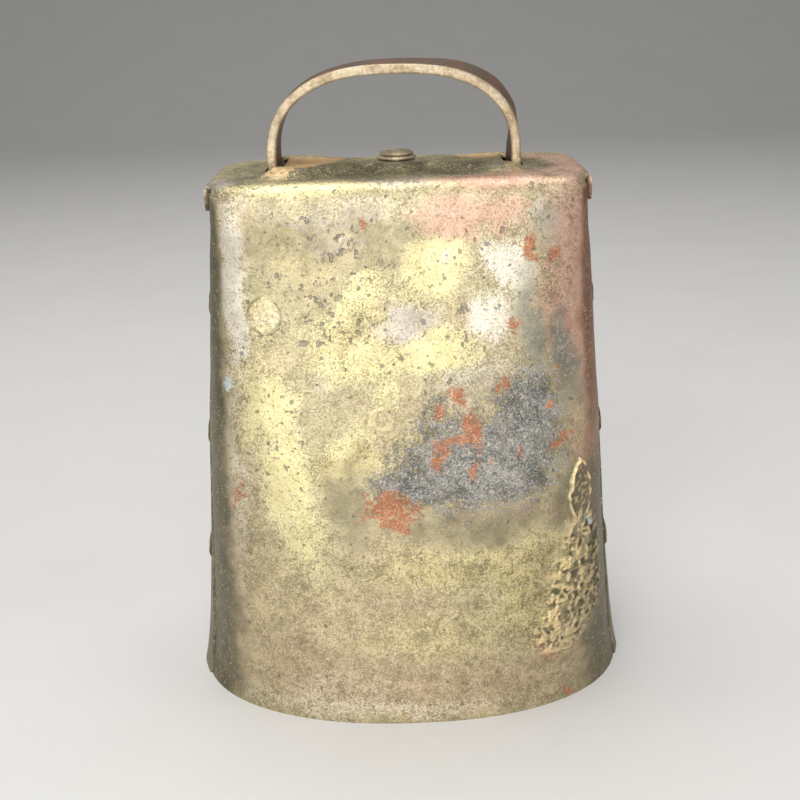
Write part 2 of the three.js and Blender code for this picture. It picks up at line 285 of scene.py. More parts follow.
def recalculate_normals(piece):
    with edited(piece.data) as bm:
        bmesh.ops.recalc_face_normals(bm, faces=bm.faces)


def rounded_rectangle(half_a, half_b, corner, cells=1):
    """Outline of a bar's section, its long faces divided into cells."""
    outline = []
    for sign_a, sign_b, start in ((1, 1, 0), (-1, 1, 90), (-1, -1, 180), (1, -1, 270)):
        for step in range(5):
            turn = math.radians(start + 22.5 * step)
            a = sign_a * (half_a - corner) + corner * math.cos(turn)
            b = sign_b * (half_b - corner) + corner * math.sin(turn)
            outline.append((a, b))
    dense = []
    for (a0, b0), (a1, b1) in zip(outline, outline[1:] + outline[:1]):
        parts = cells if math.hypot(a1 - a0, b1 - b0) > 4 else 1
        for k in range(parts):
            dense.append((a0 + (a1 - a0) * k / parts, b0 + (b1 - b0) * k / parts))
    return dense


def slot_cutter(x, half_width, half_depth, low, high):
    """A bar with rounded upright edges, to cut a slot with."""
    outline = rounded_rectangle(half_width, half_depth, 0.6)
    points = [(x + a, b, z) for z in (low, high) for a, b in outline]
    return new_mesh("cutter", points, capped_faces(2, len(outline)))


def placed(piece, place, direction):
    """Turns a piece made on the Z axis along a direction and moves it to its place, in millimetres."""
    turn = Vector((0, 0, 1)).rotation_difference(Vector(direction).normalized())
    move = Matrix.Translation(Vector(place) * MM)
    piece.data.transform(move @ turn.to_matrix().to_4x4())
    return piece


def drill(piece, foot):
    """The crown rivet's hole, from a height up through the crown."""
    hole = turned("cutter", [(RIVET_HOLE, foot), (RIVET_HOLE, HEIGHT + 6)])
    boolean(piece, hole, "DIFFERENCE")


def roughen(piece, amount, size):
    """Hammer marks: moves each point along its normal by a little even noise."""
    points = coordinates(piece)
    shift = wander(points, size) * amount
    set_coordinates(piece, points + vertex_normals(piece) * shift[:, None])


def keep_inside(piece, low, high):
    """Presses the points that noise took out of a box back onto its sides."""
    set_coordinates(piece, np.clip(coordinates(piece), low, high))


# ---- the body: one folded sheet ----
SIDE_CELLS = 12
CORNER_CELLS = 6
CROWN_CORNER = 5
END_BEND = 0.55


def face_cells():
    """How many cells one quarter takes from the tab's edge to the middle of its face."""
    return round((MOUTH_HALF_WIDTH + 12) / COLUMN_STEP)


def quarter(half_width, half_depth, power, lap, edge, tab_edge):
    """One quarter of a section, from the middle of the side to the middle of the face.

    The lap's outer layer stands lap proud at the middle of the side and half as much at its free
    edge, where there are two points, one on the outer and one on the inner layer.
    """
    edge = min(edge, tab_edge - 1)

    def x_at(y, width):
        return width * (1 - (y / half_depth) ** power) ** (1 / power)

    lap_y = np.linspace(0, edge, SIDE_CELLS + 1)
    corner_y = np.linspace(edge, tab_edge, CORNER_CELLS + 1)
    beaten = lap * (1 - 0.5 * smooth(lap_y, 0.2 * edge, edge))
    halfway = 0.5 ** (1 / power)
    side_y = np.linspace(tab_edge, half_depth * halfway, 60)
    face_x = np.linspace(half_width * halfway, 0, 240)[1:]
    face_y = half_depth * (1 - (face_x / half_width) ** power) ** (1 / power)
    curve_x = np.concatenate([x_at(side_y, half_width), face_x])
    curve_y = np.concatenate([side_y, face_y])
    length = run_length(curve_x, curve_y)
    even = np.linspace(0, length[-1], face_cells() + 1)[1:]
    lap_x, corner_x = x_at(lap_y, half_width + beaten), x_at(corner_y, half_width)
    x = np.concatenate([lap_x, corner_x, np.interp(even, length, curve_x)])
    y = np.concatenate([lap_y, corner_y, np.interp(even, length, curve_y)])
    return x, y


def ring(z, inset=0.0):
    """A whole section at height z, anticlockwise from the middle of the right side."""
    half_width, half_depth, power = section(z)
    half_width -= inset
    half_depth -= inset
    tab_edge = TAB_HALF_WIDTH * half_depth / (half_depth + inset)
    lap = lap_rise(z)
    points = []
    for side, end, backwards in ((1, 1, False), (-1, 1, True), (-1, -1, False), (1, -1, True)):
        # The back half is the outer layer throughout, so its step is turned inside.
        width = half_width if end < 0 else half_width + lap
        step = lap if end < 0 else 0
        edge = lap_edge(z, side) if end < 0 else 5.0
        x, y = quarter(width, half_depth, power, step, edge, tab_edge)
        run = [(side * a, end * b, z) for a, b in zip(x, y)]
        if backwards:
            run.reverse()
        points += run[:-1]
    return np.array(points)


def column_marks():
    """Column numbers of the tab edges and of the crown's corners, by quarter."""
    to_tab = SIDE_CELLS + 1 + CORNER_CELLS
    per_quarter = to_tab + face_cells()
    total = 4 * per_quarter
    tabs = [to_tab, 2 * per_quarter - to_tab, 2 * per_quarter + to_tab, total - to_tab]
    corners = [mark + way * CROWN_CORNER for mark, way in zip(tabs, (1, -1, 1, -1))]
    return total, tabs, corners


def bend_ring(turn, power):
    """A section up the bend at an angle; a power below 1 makes the bend tighter than round."""
    up = math.sin(turn) ** power
    inward = 1 - max(math.cos(turn), 0) ** power
    return ring(HEIGHT - SHOULDER * (1 - up), SHOULDER * inward)


def shoulder_rings(steps=11):
    """Sections from the walls to the flat crown, as (angle, points); the ends bend tightly."""
    rings = []
    for angle in np.linspace(0, 90, steps):
        turn = math.radians(angle)
        round_bend = bend_ring(turn, 1.0)
        tight_bend = bend_ring(turn, END_BEND)
        ends = smooth(np.abs(round_bend[:, 0]), 26, 36)[:, None]
        rings.append((angle, round_bend * (1 - ends) + tight_bend * ends))
    return rings


def wall_block():
    top = HEIGHT - SHOULDER
    levels = np.linspace(0, top, round(top / ROW_STEP) + 1)
    rings = [ring(z) for z in levels]
    columns = len(rings[0])
    return np.concatenate(rings), grid_faces(len(rings), columns, closed=True)


def slit_opening(angle, widest):
    """How far one side of the slit beside a tab stands back at an angle up the bend."""
    return widest * peak(angle, 26, 11) if 0 < angle < RELIEF_ANGLE else 0


def corner_block(rings, first, last, total):
    """The bend over one long side, ending at the two slits beside the tabs."""
    columns = [c % total for c in range(first, last + 1)]
    rows = []
    for angle, points in rings:
        row = points[columns].copy()
        row[[0, -1], 1] += math.copysign(slit_opening(angle, 0.55), row[len(row) // 2][1])
        rows.append(row)
    return np.concatenate(rows), grid_faces(len(rows), len(columns))


def tab_block(rings, first, last, total):
    """An end of the crown, bent down over the outside of the walls as a tab."""
    columns = [c % total for c in range(first, last + 1)]
    stand = SHEET + TAB_STANDOFF
    base = rings[0][1][columns]
    side = math.copysign(1, base[0][0])
    from_edge = TAB_HALF_WIDTH - np.abs(base[:, 1])
    cut = np.clip(1 - from_edge / TAB_CORNER, 0, 1)
    bottom = TAB_BOTTOM + TAB_CORNER * 0.55 * (1 - np.sqrt(1 - cut**2))
    rows = []
    for share in np.linspace(0, 1, 4)[:-1]:
        row = base.copy()
        row[:, 2] = bottom + (base[:, 2] - bottom) * share
        for point in row:
            half_width, half_depth, power = section(point[2])
            reach = 1 - (abs(point[1]) / half_depth) ** power
            point[0] = side * (half_width + stand) * reach ** (1 / power)
        rows.append(row)
    for angle, points in rings:
        row = points[columns].copy()
        turn = math.radians(angle)
        hold = np.ones(len(row)) if angle < RELIEF_ANGLE else smooth(from_edge, 0, 4)
        lift = stand * math.cos(turn) * hold
        row[:, 0] += side * lift * math.cos(turn)
        row[:, 2] += lift * math.sin(turn)
        row[[0, -1], 1] -= np.copysign(slit_opening(angle, 0.5), row[[0, -1], 1])
        rows.append(row)
    return np.concatenate(rows), grid_faces(len(rows), len(columns))


def bridge_height(x, y):
    """How far the crown is pushed up between the slots, over the folded feet of the bail."""
    out = np.abs(x - BAIL_X)
    left = smooth(-(x - BAIL_X), 0, 12)
    ends = 0.85 + 0.15 * left + 0.35 * smooth(out, 10, 21) * left
    along = ends * (1 - smooth(out, SLOT_INNER + 0.5, SLOT_OUTER + 2))
    half = 3.0 + 6.0 * smooth(out, 5, 20)
    fall = 2.2 + 3.2 * smooth(out, 5, 20)
    wedge = along * (1 - smooth(np.abs(y), half, half + fall))
    pad = 0.95 * (1 - smooth(np.hypot(x, y), 5.2, 8.5))
    lobes = peak(out, 13, 7) * peak(np.abs(y), 9.5, 3.2)
    return BRIDGE_RISE * np.maximum(wedge, pad) - 0.35 * lobes


def crown_block(crown_ring, corners, total):
    """The flat of the crown: a grid stretched inside the last ring of the shoulder."""
    back_right, back_left, front_left, front_right = corners

    def run(first, last):
        if last < first:
            last += total
        return crown_ring[[c % total for c in range(first, last + 1)]]

    right = run(front_right, back_right)
    left = run(back_left, front_left)[::-1]
    back = run(back_right, back_left)[::-1]
    front = run(front_left, front_right)

    def shares(a, b):
        steps = np.linalg.norm(np.diff(a, axis=0), axis=1)
        steps = steps + np.linalg.norm(np.diff(b, axis=0), axis=1)
        return np.concatenate([[0], np.cumsum(steps)]) / steps.sum()

    u = shares(front, back)[None, :, None]
    v = shares(left, right)[:, None, None]
    across = (1 - v) * front[None] + v * back[None]
    upward = (1 - u) * left[:, None] + u * right[:, None]
    corner = (1 - u) * (1 - v) * front[0] + u * (1 - v) * front[-1]
    corner = corner + (1 - u) * v * back[0] + u * v * back[-1]
    points = across + upward - corner
    points[..., 2] += bridge_height(points[..., 0], points[..., 1])
    rows, columns = points.shape[:2]
    return points.reshape(-1, 3), grid_faces(rows, columns)


def outward(points):
    """Unit normals of the body's outer form at points on or near it."""
    normals = np.zeros_like(points)
    for i, (x, y, z) in enumerate(points):
        half_width, half_depth, power = section(z)
        normals[i] = (
            math.copysign((abs(x) / half_width) ** (power - 1) / half_width, x),
            math.copysign((abs(y) / half_depth) ** (power - 1) / half_depth, y),
            0,
        )
    length = np.linalg.norm(normals, axis=1)
    normals /= np.maximum(length, 1e-6)[:, None]
    level = smooth(points[:, 2], HEIGHT - SHOULDER, HEIGHT - 0.4)
    normals = normals * (1 - level[:, None]) + np.array([0, 0, 1]) * level[:, None]
    return normals / np.linalg.norm(normals, axis=1)[:, None]


# Dents in the front: middle (x, z), reach across and up, depth.
DENTS = [
    (-38.5, 75.5, 3, 4, 0.35), (40.5, 43.5, 2.5, 5, 0.35), (-33, 79, 2.5, 9, 0.22),
    (-20, 93, 5, 12, 0.2), (25, 80, 12, 9, 0.25), (-10, 30, 14, 10, 0.22), (8, 97, 14, 4, 0.18),
]


def wear_shape(points):
    """How far use has moved the sheet in or out, in millimetres: waves and dents."""
    shift = 0.22 * wander(points, 24) + 0.09 * wander(points, 9, 31.0) - 0.16
    front = points[:, 1] < 0
    for x, z, wide, tall, depth in DENTS:
        dent = depth * peak(points[:, 0], x, wide) * peak(points[:, 2], z, tall)
        shift -= np.where(front, dent, 0)
    # Closing the end tabs pressed the walls in beneath them.
    x, y, z = np.abs(points[:, 0]), np.abs(points[:, 1]), points[:, 2]
    pressed = smooth(x, 30, 36) * (1 - smooth(y, 13, 18)) * smooth(z, 102, 109)
    shift -= 0.42 * pressed * (1 - smooth(z, HEIGHT - SHOULDER, HEIGHT))
    return shift * smooth(z, -2, 6)


def build_shell():
    total, tabs, corners = column_marks()
    rings = shoulder_rings()
    blocks = [
        wall_block(),
        corner_block(rings, tabs[0], tabs[1], total),
        corner_block(rings, tabs[2], tabs[3], total),
        tab_block(rings, tabs[1], tabs[2], total),
        tab_block(rings, tabs[3], tabs[0] + total, total),
        crown_block(rings[-1][1], corners, total),
    ]
    points = []
    faces = []
    for block_points, block_faces in blocks:
        faces += [tuple(i + len(points) for i in face) for face in block_faces]
        points += list(block_points)
    shell = new_mesh("shell_sheet", points, faces)

    outer = coordinates(shell)
    outer += outward(outer) * wear_shape(outer)[:, None]
    set_coordinates(shell, outer)
    skin = BVHTree.FromPolygons(
        [tuple(p) for p in outer], [tuple(f.vertices) for f in shell.data.polygons]
    )

    thicken(shell, SHEET - 0.02)
    # The sheet's inner points come after its outer ones.
    add_attribute(shell, "inner", np.arange(len(shell.data.vertices)) >= len(outer))
    keep_inside(shell, SHELL_LOW, SHELL_HIGH)
    cut_shell(shell)
    bevel_edges(shell, 0.2)
    shade(shell, 50)
    return shell, skin


def cut_shell(shell):
    """Cuts the bail's slots, the round reliefs beside the tabs and the crown rivet's hole."""
    for side in (-1, 1):
        middle = BAIL_X + side * (SLOT_INNER + SLOT_OUTER) / 2
        half_width = (SLOT_OUTER - SLOT_INNER) / 2
        slot = slot_cutter(middle, half_width, SLOT_HALF_DEPTH, HEIGHT - 3, HEIGHT + 5)
        boolean(shell, slot, "DIFFERENCE")
        for end in (-1, 1):
            x, y, z = RELIEF_PLACE
            relief = turned("cutter", [(RELIEF_RADIUS, -4), (RELIEF_RADIUS, 4)], 20)
            placed(relief, (side * x, end * y, z), (side * 0.62, end * 0.66, 0.42))
            boolean(shell, relief, "DIFFERENCE")
    drill(shell, HEIGHT - 4)


# ---- brass that ran while the bell was brazed ----
def face_row(along, z):
    """Points of the front face at height z, at distances along from its middle."""
    half_width, half_depth, power = section(z)
    x = half_width * np.sin(np.linspace(0, math.pi / 2, 400))
    y = -half_depth * (1 - (x / half_width) ** power) ** (1 / power)
    length = run_length(x, y)
    row_x = np.copysign(np.interp(np.abs(along), length, x), along)
    row_y = np.interp(np.abs(along), length, y)
    return np.column_stack([row_x, row_y, np.full(len(along), z)])


def surface_patch(name, skin, low_s, high_s, low_z, high_z, step, relief):
    """A thin closed lump on the front of the body.

    Places on it are s, the distance round the section from the middle of the face, and z.
    relief(s, z) gives its rise above the sheet, how golden it is and how deep in a pit.
    """
    along = np.linspace(low_s, high_s, round((high_s - low_s) / step) + 1)
    levels = np.linspace(low_z, high_z, round((high_z - low_z) / step) + 1)
    points = np.concatenate([face_row(along, z) for z in levels])
    reach = np.tile(along, len(levels))
    normals = outward(points)
    rise, gold, pit = relief(reach, points[:, 2])
    seated = []
    for point, normal, lift in zip(points, normals, rise):
        start = Vector(point + normal * 4)
        hit, _, _, _ = skin.ray_cast(start, Vector(-normal), 8)
        seat = np.array(hit) if hit else point
        seated.append(seat + normal * lift)
    patch = new_mesh(name, seated, grid_faces(len(levels), len(along)))
    for mask, values in (("rise", rise), ("gold", gold), ("pit", pit)):
        add_attribute(patch, mask, values)
    drop_buried_faces(patch)
    thicken(patch, 0.3)
    shade(patch, 60)
    return patch


def drop_buried_faces(patch):
    """Removes the faces of a lump that lie wholly below the sheet's surface."""
    with edited(patch.data) as bm:
        layer = bm.verts.layers.float["rise"]
        buried = [f for f in bm.faces if all(v[layer] < -0.04 for v in f.verts)]
        bmesh.ops.delete(bm, geom=buried, context="FACES")


def cell_pattern(s, z, size, seed):
    """Distances to the nearest and the second nearest of scattered seeds, over cells of a size."""
    generator = np.random.default_rng(seed)
    low_s, high_s = s.min() - 3, s.max() + 3
    low_z, high_z = z.min() - 3, z.max() + 3
    count = int((high_s - low_s) * (high_z - low_z) / size**2)
    seeds = generator.uniform((low_s, low_z), (high_s, high_z), (count, 2))
    distance = np.hypot(s[:, None] - seeds[:, 0], z[:, None] - seeds[:, 1])
    distance.partition(1, axis=1)
    return distance[:, 0], distance[:, 1]


def flat_points(s, z):
    return np.column_stack([s, np.zeros_like(s), z])


def crust_relief(s, z):
    """Spelter that boiled and froze: ridges round pits, thinning out at its border."""
    flat = flat_points(s, z)
    warp_s = s + 0.5 * wander(flat, 2.2)
    warp_z = z + 0.5 * wander(flat, 2.2, 17.0)
    near, second = cell_pattern(warp_s, warp_z, 1.95, seed=11)
    ridge = 1 - smooth(second - near, 0.1, 1.15)
    middle = np.interp(z, [12, 22, 36, 46], [33.5, 38.5, 40.0, 39.5]) + 1.2 * wander(flat, 5, 3.0)
    half = np.interp(z, [12, 15, 22, 36, 46], [3.5, 8.0, 11.0, 8.0, 4.5])
    away = np.abs(warp_s - middle) - half
    body = 1 - smooth(away, -3.5, 1.2)
    body = body * smooth(warp_z, 11.6, 13.0) * (1 - smooth(z, 43, 48))
    grain = 0.5 + 0.5 * wander(flat, 0.7, 5.0)
    lip = peak(warp_z, 13.0, 0.6) * smooth(s, 28, 30) * (1 - smooth(s, 36, 39))
    broken = smooth(wander(flat, 2.6, 8.0), -0.3, 0.25)
    blobs = smooth(wander(flat, 1.3, 29.0), 0.0, 0.45)
    ridge = np.maximum(ridge * (0.35 + 0.75 * grain) * (0.45 + 0.55 * broken), 0.75 * blobs)
    ridge = np.clip(np.maximum(ridge, 0.8 * lip), 0, 1)
    rise = body * (0.06 + 0.6 * ridge + 0.16 * grain) - 0.1
    fresh = 1 - smooth(s - 0.35 * (z - 30), 36, 42)
    # The gold on the ridges is partly the spelter's brass and partly a painted highlight.
    gold = body * smooth(ridge, 0.3, 0.85) * (0.25 + 0.5 * grain + 0.4 * fresh)
    pit = body * (1 - smooth(ridge, 0.05, 0.4)) * (0.45 + 0.5 * broken)
    return rise, np.clip(gold, 0, 1), pit


def drip_relief(s, z):
    """A long drop of spelter with a raised border and a hollow, lumpy middle."""
    flat = flat_points(s, z)
    middle = 38.7 - 0.06 * (z - 50)
    along = (z - 50.5) / 7.0
    half = 3.2 * np.sqrt(np.clip(1 - along**2, 0, 1)) * (1 - 0.35 * smooth(along, -0.3, 1))
    half = half * (1 + 0.3 * wander(flat, 2.4, 3.0))
    away = np.abs(s - middle) - half
    border = peak(away, 0, 0.5) * (0.6 + 0.6 * wander(flat, 1.7, 21.0))
    border = np.clip(border, 0, 1) * smooth(z, 42.5, 44.5) * (1 - smooth(z, 57.5, 58.6))
    inside = 1 - smooth(away, -0.3, 0.5)
    lumps = 0.5 + 0.5 * wander(flat, 0.9, 9.0)
    rise = 0.75 * border + inside * (0.05 + 0.4 * lumps) - 0.1
    gold = np.maximum(smooth(border, 0.25, 0.7), 0.3 * inside * smooth(lumps, 0.5, 0.8))
    pit = 0.6 * inside * (1 - smooth(lumps, 0.4, 0.75)) * (1 - gold)
    return rise, gold, pit


def bead_relief(s, z):
    """A flat round drop with dirt round it."""
    flat = flat_points(s, z)
    radius = np.hypot(s + 27.9, z - 91.6) + 0.45 * wander(flat, 1.6, 2.0)
    lumps = 0.09 * wander(flat, 0.9, 4.0)
    rise = (0.28 + lumps) * (1 - smooth(radius, 3.0, 4.2)) - 0.06
    gold = 0.12 * (1 - smooth(radius, 3.0, 3.8))
    pit = peak(radius, 4.0, 0.45) * (0.2 + 1.1 * wander(flat, 1.3, 12.0))
    return rise, gold, np.clip(pit, 0, 1)


def splash_relief(s, z):
    """A drop that burst and left a ring."""
    flat = flat_points(s, z)
    radius = np.hypot(s + 4.9, z - 69.4) + 0.8 * wander(flat, 1.8, 6.0)
    ring_height = peak(radius, 2.0, 0.9)
    return 0.15 * ring_height - 0.06, 0.25 * ring_height, 0.15 * (1 - smooth(radius, 0.8, 1.6))


def build_spelter(skin):
    return [
        surface_patch("spelter_crust", skin, 22, 54, 10.5, 49, 0.22, crust_relief),
        surface_patch("spelter_drip", skin, 33.5, 44, 41.5, 59, 0.2, drip_relief),
        surface_patch("spelter_bead", skin, -33.5, -22, 86, 97.5, 0.2, bead_relief),
        surface_patch("spelter_splash", skin, -9.5, -0.5, 65, 74, 0.2, splash_relief),
    ]


# ---- the bail ----
FOOT_OVERLAP = 5.6
FOOT_BEND = 2.5
UPPER_FOOT = HEIGHT + BRIDGE_RISE - SHEET - 0.3 - STRAP_THICKNESS / 2
LOWER_FOOT = UPPER_FOOT - STRAP_THICKNESS - 0.3


def bend(x, z, radius, start, end, steps=8):
    turns = [math.radians(start + (end - start) * i / steps) for i in range(steps + 1)]
    return [(x + radius * math.cos(t), z + radius * math.sin(t)) for t in turns]


def bail_centreline():
    """Foot, leg, arch, leg and foot, as (x, z) pairs about a millimetre apart."""
    bend_x = BAIL_HALF_WIDTH - FOOT_BEND
    arch = []
    for i in range(73):
        turn = math.pi - math.pi * i / 72
        c, s = math.cos(turn), math.sin(turn)
        x = BAIL_HALF_WIDTH * math.copysign(abs(c) ** (2 / BAIL_POWER), c)
        arch.append((x, BAIL_SPRING + (FRONT_TOP - BAIL_SPRING) * abs(s) ** (2 / BAIL_POWER)))
    left_foot = [(x, UPPER_FOOT) for x in np.linspace(FOOT_OVERLAP, -bend_x + 1, 24)]
    right_foot = [(x, LOWER_FOOT) for x in np.linspace(bend_x - 1, -FOOT_OVERLAP, 24)]
    return (
        left_foot
        + bend(-bend_x, UPPER_FOOT + FOOT_BEND, FOOT_BEND, 270, 180)
        + arch[1:-1]
        + bend(bend_x, LOWER_FOOT + FOOT_BEND, FOOT_BEND, 0, -90)
        + right_foot
    )


def build_bail():
    centreline = [Vector((x + BAIL_X, 0, z)) for x, z in bail_centreline()]
    section_outline = rounded_rectangle(STRAP_THICKNESS / 2, STRAP_HALF_DEPTH, 0.55, cells=10)
    points = []
    for i, centre in enumerate(centreline):
        ahead = centreline[min(i + 1, len(centreline) - 1)]
        behind = centreline[max(i - 1, 0)]
        along = (ahead - behind).normalized()
        normal = Vector((-along.z, 0, along.x))
        # The bail was bent by hand, so its back edge springs out over the right shoulder.
        free = float(smooth(centre.z, HEIGHT + 1.5, HEIGHT + 11))
        spring = free * np.interp(centre.x, (-25, -9, 6, 15, 20, 25), (0.1, 0.4, 0.7, 1.7, 2.1, 1.5))
        # Its feet were beaten thinner, and narrower towards the rivet, to fit under the crown.
        out = abs(centre.x - BAIL_X)
        under = float(smooth(out, 21, 17)) if centre.z < HEIGHT + 1 else 0.0
        narrow = 1 - 0.46 * under * float(smooth(out, 13, 5))
        for a, b in section_outline:
            lean = spring * (b + STRAP_HALF_DEPTH) / (2 * STRAP_HALF_DEPTH)
            lump = 0.07 * noise.noise(Vector((i * 0.11, b * 0.25, a)))
            across = normal * (a * (1 + lump - 0.15 * under) + lean)
            points.append(centre + across + Vector((0, b * narrow, -0.15 * under)))
    bail = new_mesh("bail", points, capped_faces(len(centreline), len(section_outline)))
    recalculate_normals(bail)
    roughen(bail, 0.07, 5)
    drill(bail, LOWER_FOOT - 4)
    keep_inside(bail, STRAP_LOW, STRAP_HIGH)
    reach = np.abs(coordinates(bail)[:, 1])
    add_attribute(bail, "worn", smooth(reach, STRAP_HALF_DEPTH - 0.75, STRAP_HALF_DEPTH - 0.25))
    shade(bail)
    return bail


# ---- crown rivet, washer and side rivets ----
RIVET_SHANK = 2.0
COLLAR_TOP = LOWER_FOOT - STRAP_THICKNESS / 2 - 0.15
EYE_RADIUS = 4.5
EYE_WIRE = 1.6
EYE_CENTRE = COLLAR_TOP - 1.5 - EYE_RADIUS - EYE_WIRE + 0.5


def weld_eye(piece, radius, z, wire):
    """Joins an upright ring of wire to a piece."""
    centreline = [Vector((radius * c, 0, z + radius * s)) for c, s in circle(64)]
    boolean(piece, wire_loop("cutter", centreline, wire, (0, 1, 0)), "UNION")


def build_crown_rivet():
    under = WASHER_HIGH.z + 0.12
    profile = [
        (RIVET_SHANK, COLLAR_TOP - 1.9), (3.2, COLLAR_TOP - 1.9), (4.1, COLLAR_TOP - 1.5),
        (4.5, COLLAR_TOP - 0.9), (4.5, COLLAR_TOP - 0.2), (4.3, COLLAR_TOP),
        (RIVET_SHANK, COLLAR_TOP), (RIVET_SHANK, under), (3.1, under), (3.5, under + 0.12),
        (3.6, under + 0.35), (3.4, under + 0.6), (2.9, under + 0.82), (2.2, under + 0.95),
        (1.3, under + 0.98), (0.4, under + 0.93),
    ]
    rivet = turned("crown_rivet_head", profile, uneven=0.05)
    weld_eye(rivet, EYE_RADIUS, EYE_CENTRE, EYE_WIRE)
    roughen(rivet, 0.06, 1.6)
    shade(rivet)
    return rivet


def build_washer():
    low, high, radius, hole = WASHER_LOW.z, WASHER_HIGH.z, WASHER_HIGH.x, RIVET_SHANK + 0.15
    profile = [
        (hole, low), (radius - 0.2, low), (radius, low + 0.15), (radius, high - 0.2),
        (radius - 0.25, high), (hole, high), (hole, low),
    ]
    washer = turned("rivet_washer", profile, steps=72, hollow=True)
    shade(washer)
    return washer


def build_side_rivet(node, skin):
    """A rivet through the lap: a low hammered head outside and its clenched tail inside."""
    low, high = box_mm(node)
    middle = (low + high) / 2
    side = math.copysign(1, middle.x)
    lean = (MOUTH_HALF_WIDTH - TOP_HALF_WIDTH) / HEIGHT
    direction = Vector((side, 0, lean)).normalized()
    seat, _, _, _ = skin.ray_cast(middle + direction * 12, -direction, 30)
    inside = -2 * SHEET
    profile = [
        (0.6, inside - 0.7), (1.9, inside - 0.6), (2.6, inside - 0.3), (2.8, inside),
        (1.5, inside + 0.1), (1.5, -0.3), (3.2, -0.3), (3.35, 0.0), (3.1, 0.14), (2.5, 0.24),
        (1.6, 0.3), (0.7, 0.31),
    ]
    rivet = turned(node + "_head", profile, steps=48, uneven=0.08)
    roughen(rivet, 0.06, 1.5)
    shade(rivet)
    return placed(rivet, seat, direction)


# ---- link and clapper ----
LINK_WIRE = LINK_HIGH.x
LINK_BEND = LINK_HIGH.y - LINK_WIRE
CLAPPER_EYE = 4.3
CLAPPER_WIRE = 1.7
CLAPPER_ROD = 2.0


def build_link():
    centre_z = (LINK_LOW.z + LINK_HIGH.z) / 2
    half_straight = (LINK_HIGH.z - LINK_LOW.z) / 2 - LINK_BEND - LINK_WIRE
    loop = bend(0, centre_z + half_straight, LINK_BEND, 0, 180, 20)
    loop += bend(0, centre_z - half_straight, LINK_BEND, 180, 360, 20)
    centreline = [Vector((0, y, z)) for y, z in loop]
    link = wire_loop("link_ring", centreline, LINK_WIRE * 0.97, (1, 0, 0), steps=20)
    roughen(link, 0.05, 2)
    shade(link, 60)
    return link


def build_rod():
    eye_centre = ROD_HIGH.z - CLAPPER_EYE - CLAPPER_WIRE
    foot, ball_low, ball_high = ROD_LOW.z, BALL_LOW.z, BALL_HIGH.z
    profile = [
        (1.2, foot), (2.6, foot + 0.2), (3.3, foot + 0.7), (3.4, ball_low - 0.3),
        (CLAPPER_ROD, ball_low - 0.15), (CLAPPER_ROD, ball_high + 0.15), (3.5, ball_high + 0.2),
        (3.55, ball_high + 1.3), (2.6, ball_high + 2.4), (CLAPPER_ROD, ball_high + 3.4),
    ]
    shaft = np.linspace(ball_high + 5, eye_centre - CLAPPER_EYE, 40)
    profile += [(CLAPPER_ROD + 0.12 * noise.noise(Vector((0, 0, z * 0.2))), z) for z in shaft]
    rod = turned("clapper_shaft", profile, steps=40, uneven=0.04)
    weld_eye(rod, CLAPPER_EYE, eye_centre, CLAPPER_WIRE * 0.98)
    roughen(rod, 0.05, 3)
    shade(rod)
    return rod


def build_ball():
    radius = (BALL_HIGH.z - BALL_LOW.z) / 2
    middle = (BALL_HIGH.z + BALL_LOW.z) / 2
    bore = CLAPPER_ROD + 0.3
    full = (BALL_HIGH.x - BALL_LOW.x) / 2
    profile = [(bore, BALL_LOW.z)]
    for i in range(33):
        turn = math.radians(-68 + 136 * i / 32)
        z = middle + radius * math.sin(turn) / math.sin(math.radians(68))
        profile.append((full * math.cos(turn), z))
    profile += [(bore, BALL_HIGH.z), (bore, BALL_LOW.z)]
    ball = turned("clapper_bob", profile, steps=72, hollow=True)
    shift = wander(coordinates(ball), 5) * 0.14 - 0.14
    outside = np.hypot(*coordinates(ball)[:, :2].T) > bore + 0.5
    points = coordinates(ball) + vertex_normals(ball) * (shift * outside)[:, None]
    set_coordinates(ball, points)
    shade(ball)
    return ball


# ---- painted masks ----
def add_attribute(piece, name, values):
    attribute = piece.data.attributes.get(name)
    if attribute is None:
        attribute = piece.data.attributes.new(name, "FLOAT", "POINT")
    attribute.data.foreach_set("value", np.asarray(values, np.float32))


